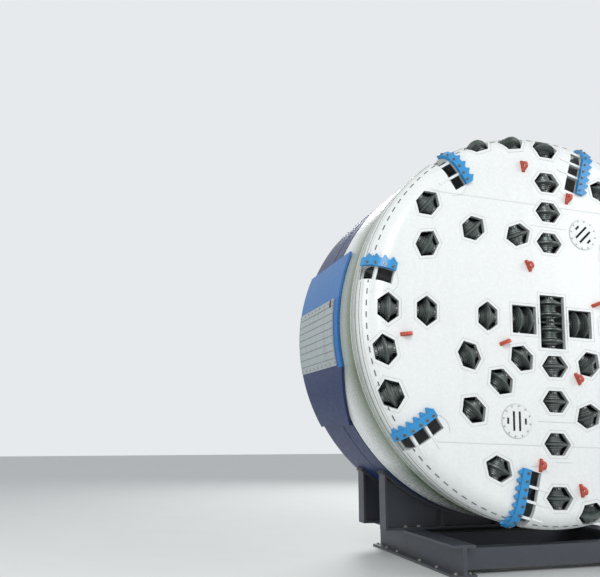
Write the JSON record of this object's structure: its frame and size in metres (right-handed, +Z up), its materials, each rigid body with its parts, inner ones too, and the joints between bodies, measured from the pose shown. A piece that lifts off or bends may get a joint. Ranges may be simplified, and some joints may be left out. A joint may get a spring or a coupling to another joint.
{
  "type": "tunnel boring machine cutterhead with forward shield",
  "caption": "Round white tunnelling head with disc cutters, muck bucket lips and lifting lugs, turning on the main bearing of a short blue shield in a floor cradle.",
  "frame": {"origin": "on the floor under the middle of the machine, halfway between the foremost lug tips and the shield's rear edge", "axes": "+Y along the tunnel axis from the face to the rear, +Z up, +X to the right seen from the front"},
  "size_m": [6.3972, 3.5298, 6.8999],
  "materials": {
    "white_paint": "gloss white paint",
    "recess_steel": "dark oiled steel plate",
    "cutter_steel": "dark forged steel with ground ring tips",
    "lip_blue": "bright blue paint",
    "lug_red": "red paint",
    "shield_blue": "deep blue paint",
    "grey_paint": "light grey paint",
    "machined_steel": "turned steel",
    "motor_blue": "machine blue paint",
    "cradle_paint": "dark workshop paint"
  },
  "bodies": {
    "shield": {"shield_skin": "shield_blue", "side_pads": "shield_blue", "side_panels": "white_paint", "bulkhead": "grey_paint", "bearing_housing": "machined_steel", "gearboxes": "grey_paint", "motors": "motor_blue", "conveyor": "grey_paint", "cylinder_brackets": "shield_blue", "cradle_saddles": "cradle_paint", "cradle_base": "cradle_paint"},
    "cutterhead": {"head_shell": "white_paint", "cutter_housings": "recess_steel", "cutter_shafts": "cutter_steel", "bucket_lips": "lip_blue", "bucket_bars": "white_paint", "lifting_lugs": "lug_red", "port_covers": "white_paint", "head_rear": "white_paint"},
    "cutter_01": {"cutter_01": "cutter_steel"},
    "cutter_02": {"cutter_02": "cutter_steel"},
    "cutter_03": {"cutter_03": "cutter_steel"},
    "cutter_04": {"cutter_04": "cutter_steel"},
    "cutter_05": {"cutter_05": "cutter_steel"},
    "cutter_06": {"cutter_06": "cutter_steel"},
    "cutter_07": {"cutter_07": "cutter_steel"},
    "cutter_08": {"cutter_08": "cutter_steel"},
    "cutter_09": {"cutter_09": "cutter_steel"},
    "cutter_10": {"cutter_10": "cutter_steel"},
    "cutter_11": {"cutter_11": "cutter_steel"},
    "cutter_12": {"cutter_12": "cutter_steel"},
    "cutter_13": {"cutter_13": "cutter_steel"},
    "cutter_14": {"cutter_14": "cutter_steel"},
    "cutter_15": {"cutter_15": "cutter_steel"},
    "cutter_16": {"cutter_16": "cutter_steel"},
    "cutter_17": {"cutter_17": "cutter_steel"},
    "cutter_18": {"cutter_18": "cutter_steel"},
    "cutter_19": {"cutter_19": "cutter_steel"},
    "cutter_20": {"cutter_20": "cutter_steel"},
    "cutter_21": {"cutter_21": "cutter_steel"},
    "cutter_22": {"cutter_22": "cutter_steel"},
    "cutter_23": {"cutter_23": "cutter_steel"},
    "cutter_24": {"cutter_24": "cutter_steel"},
    "cutter_25": {"cutter_25": "cutter_steel"},
    "cutter_26": {"cutter_26": "cutter_steel"},
    "cutter_27": {"cutter_27": "cutter_steel"},
    "cutter_28": {"cutter_28": "cutter_steel"},
    "gauge_cutter_1": {"gauge_cutter_1": "cutter_steel"},
    "gauge_cutter_2": {"gauge_cutter_2": "cutter_steel"},
    "gauge_cutter_3": {"gauge_cutter_3": "cutter_steel"},
    "gauge_cutter_4": {"gauge_cutter_4": "cutter_steel"},
    "gauge_cutter_5": {"gauge_cutter_5": "cutter_steel"},
    "gauge_cutter_6": {"gauge_cutter_6": "cutter_steel"},
    "gauge_cutter_7": {"gauge_cutter_7": "cutter_steel"},
    "gauge_cutter_8": {"gauge_cutter_8": "cutter_steel"},
    "gauge_cutter_9": {"gauge_cutter_9": "cutter_steel"},
    "centre_cutter_1": {"centre_cutter_1": "cutter_steel"},
    "centre_cutter_2": {"centre_cutter_2": "cutter_steel"},
    "centre_cutter_3": {"centre_cutter_3": "cutter_steel"},
    "centre_cutter_4": {"centre_cutter_4": "cutter_steel"}
  },
  "joints": [
    {"name": "head_spin", "type": "hinge", "parent": "shield", "child": "cutterhead", "pos_m": [0, 0.025, 3.75], "axis": [0, -1, 0], "continuous": true},
    {"name": "cutter_01_spin", "type": "hinge", "parent": "cutterhead", "child": "cutter_01", "pos_m": [-0.01344, -1.509, 3.05013], "axis": [-0.0192, 0, -0.9998], "continuous": true},
    {"name": "cutter_02_spin", "type": "hinge", "parent": "cutterhead", "child": "cutter_02", "pos_m": [-0.58792, -1.509, 3.16413], "axis": [-0.7083, 0, -0.7059], "continuous": true},
    {"name": "cutter_03_spin", "type": "hinge", "parent": "cutterhead", "child": "cutter_03", "pos_m": [0.60584, -1.509, 3.09804], "axis": [0.6807, 0, -0.7325], "continuous": true},
    {"name": "cutter_04_spin", "type": "hinge", "parent": "cutterhead", "child": "cutter_04", "pos_m": [1.0493, -1.509, 3.71152], "axis": [0.9993, 0, -0.0366], "continuous": true},
    {"name": "cutter_05_spin", "type": "hinge", "parent": "cutterhead", "child": "cutter_05", "pos_m": [-1.13923, -1.509, 3.79177], "axis": [-0.9993, 0, 0.0366], "continuous": true},
    {"name": "cutter_06_spin", "type": "hinge", "parent": "cutterhead", "child": "cutter_06", "pos_m": [-0.04544, -1.509, 2.51083], "axis": [-0.0366, 0, -0.9993], "continuous": true},
    {"name": "cutter_07_spin", "type": "hinge", "parent": "cutterhead", "child": "cutter_07", "pos_m": [0.04727, -1.509, 5.03913], "axis": [0.0366, 0, 0.9993], "continuous": true},
    {"name": "cutter_08_spin", "type": "hinge", "parent": "cutterhead", "child": "cutter_08", "pos_m": [-0.96811, -1.509, 2.80196], "axis": [-0.7145, 0, -0.6997], "continuous": true},
    {"name": "cutter_09_spin", "type": "hinge", "parent": "cutterhead", "child": "cutter_09", "pos_m": [-0.51589, -1.509, 5.13718], "axis": [-0.3486, 0, 0.9373], "continuous": true},
    {"name": "cutter_10_spin", "type": "hinge", "parent": "cutterhead", "child": "cutter_10", "pos_m": [0.52759, -1.509, 2.29255], "axis": [0.3404, 0, -0.9403], "continuous": true},
    {"name": "cutter_11_spin", "type": "hinge", "parent": "cutterhead", "child": "cutter_11", "pos_m": [-1.48538, -1.509, 3.18279], "axis": [-0.9342, 0, -0.3567], "continuous": true},
    {"name": "cutter_12_spin", "type": "hinge", "parent": "cutterhead", "child": "cutter_12", "pos_m": [1.20137, -1.509, 4.86638], "axis": [0.7325, 0, 0.6807], "continuous": true},
    {"name": "cutter_13_spin", "type": "hinge", "parent": "cutterhead", "child": "cutter_13", "pos_m": [1.69886, -1.509, 3.68771], "axis": [0.9993, 0, -0.0366], "continuous": true},
    {"name": "cutter_14_spin", "type": "hinge", "parent": "cutterhead", "child": "cutter_14", "pos_m": [0.06632, -1.509, 5.55878], "axis": [0.0366, 0, 0.9993], "continuous": true},
    {"name": "cutter_15_spin", "type": "hinge", "parent": "cutterhead", "child": "cutter_15", "pos_m": [-0.06889, -1.509, 1.87126], "axis": [-0.0366, 0, -0.9993], "continuous": true},
    {"name": "cutter_16_spin", "type": "hinge", "parent": "cutterhead", "child": "cutter_16", "pos_m": [-1.30815, -1.509, 5.1826], "axis": [-0.6743, 0, 0.7385], "continuous": true},
    {"name": "cutter_17_spin", "type": "hinge", "parent": "cutterhead", "child": "cutter_17", "pos_m": [-1.45315, -1.509, 2.37582], "axis": [-0.7266, 0, -0.6871], "continuous": true},
    {"name": "cutter_18_spin", "type": "hinge", "parent": "cutterhead", "child": "cutter_18", "pos_m": [1.64302, -1.509, 2.50739], "axis": [0.7976, 0, -0.6032], "continuous": true},
    {"name": "cutter_19_spin", "type": "hinge", "parent": "cutterhead", "child": "cutter_19", "pos_m": [-2.15855, -1.509, 3.82915], "axis": [-0.9993, 0, 0.0366], "continuous": true},
    {"name": "cutter_20_spin", "type": "hinge", "parent": "cutterhead", "child": "cutter_20", "pos_m": [2.2385, -1.509, 3.66792], "axis": [0.9993, 0, -0.0366], "continuous": true},
    {"name": "cutter_21_spin", "type": "hinge", "parent": "cutterhead", "child": "cutter_21", "pos_m": [0.08501, -1.509, 6.06844], "axis": [0.0366, 0, 0.9993], "continuous": true},
    {"name": "cutter_22_spin", "type": "hinge", "parent": "cutterhead", "child": "cutter_22", "pos_m": [-2.10828, -1.509, 4.87572], "axis": [-0.8821, 0, 0.471], "continuous": true},
    {"name": "cutter_23_spin", "type": "hinge", "parent": "cutterhead", "child": "cutter_23", "pos_m": [-1.09105, -1.509, 1.52289], "axis": [-0.4399, 0, -0.898], "continuous": true},
    {"name": "cutter_24_spin", "type": "hinge", "parent": "cutterhead", "child": "cutter_24", "pos_m": [1.12835, -1.509, 6.00327], "axis": [0.4478, 0, 0.8942], "continuous": true},
    {"name": "cutter_25_spin", "type": "hinge", "parent": "cutterhead", "child": "cutter_25", "pos_m": [2.40882, -1.509, 4.64583], "axis": [0.9373, 0, 0.3486], "continuous": true},
    {"name": "cutter_26_spin", "type": "hinge", "parent": "cutterhead", "child": "cutter_26", "pos_m": [-0.09784, -1.509, 1.08179], "axis": [-0.0366, 0, -0.9993], "continuous": true},
    {"name": "cutter_27_spin", "type": "hinge", "parent": "cutterhead", "child": "cutter_27", "pos_m": [-2.07281, -1.509, 5.52661], "axis": [-0.7593, 0, 0.6508], "continuous": true},
    {"name": "cutter_28_spin", "type": "hinge", "parent": "cutterhead", "child": "cutter_28", "pos_m": [-2.77813, -1.509, 3.85187], "axis": [-0.9993, 0, 0.0366], "continuous": true},
    {"name": "gauge_cutter_1_spin", "type": "hinge", "parent": "cutterhead", "child": "gauge_cutter_1", "pos_m": [-2.81664, -1.50605, 3.23305], "axis": [-0.9686, 0.1736, -0.1778], "continuous": true},
    {"name": "gauge_cutter_2_spin", "type": "hinge", "parent": "cutterhead", "child": "gauge_cutter_2", "pos_m": [2.43711, -1.50324, 2.2212], "axis": [0.822, 0.2419, -0.5156], "continuous": true},
    {"name": "gauge_cutter_3_spin", "type": "hinge", "parent": "cutterhead", "child": "gauge_cutter_3", "pos_m": [0.1059, -1.49951, 6.63801], "axis": [0.0348, 0.309, 0.9504], "continuous": true},
    {"name": "gauge_cutter_4_spin", "type": "hinge", "parent": "cutterhead", "child": "gauge_cutter_4", "pos_m": [0.45004, -1.49223, 0.87612], "axis": [0.1413, 0.4067, -0.9025], "continuous": true},
    {"name": "gauge_cutter_5_spin", "type": "hinge", "parent": "cutterhead", "child": "gauge_cutter_5", "pos_m": [-2.69631, -1.48301, 2.61103], "axis": [-0.7978, 0.5, -0.337], "continuous": true},
    {"name": "gauge_cutter_6_spin", "type": "hinge", "parent": "cutterhead", "child": "gauge_cutter_6", "pos_m": [1.89632, -1.47195, 6.00195], "axis": [0.5211, 0.5878, 0.6188], "continuous": true},
    {"name": "gauge_cutter_7_spin", "type": "hinge", "parent": "cutterhead", "child": "gauge_cutter_7", "pos_m": [-0.48341, -1.45917, 6.67007], "axis": [-0.1214, 0.6691, 0.7332], "continuous": true},
    {"name": "gauge_cutter_8_spin", "type": "hinge", "parent": "cutterhead", "child": "gauge_cutter_8", "pos_m": [2.9748, -1.4397, 3.9007], "axis": [0.642, 0.766, 0.0325], "continuous": true},
    {"name": "gauge_cutter_9_spin", "type": "hinge", "parent": "cutterhead", "child": "gauge_cutter_9", "pos_m": [-1.06694, -1.42348, 6.54405], "axis": [-0.1995, 0.829, 0.5224], "continuous": true},
    {"name": "centre_cutter_1_spin", "type": "hinge", "parent": "cutterhead", "child": "centre_cutter_1", "pos_m": [0.00769, -1.509, 3.95986], "axis": [0.0366, 0, 0.9993], "continuous": true},
    {"name": "centre_cutter_2_spin", "type": "hinge", "parent": "cutterhead", "child": "centre_cutter_2", "pos_m": [-0.00769, -1.509, 3.54014], "axis": [-0.0366, 0, -0.9993], "continuous": true},
    {"name": "centre_cutter_3_spin", "type": "hinge", "parent": "cutterhead", "child": "centre_cutter_3", "pos_m": [-0.50466, -1.509, 3.76851], "axis": [-0.9993, 0, 0.0366], "continuous": true},
    {"name": "centre_cutter_4_spin", "type": "hinge", "parent": "cutterhead", "child": "centre_cutter_4", "pos_m": [0.50466, -1.509, 3.73149], "axis": [0.9993, 0, -0.0366], "continuous": true}
  ]
}
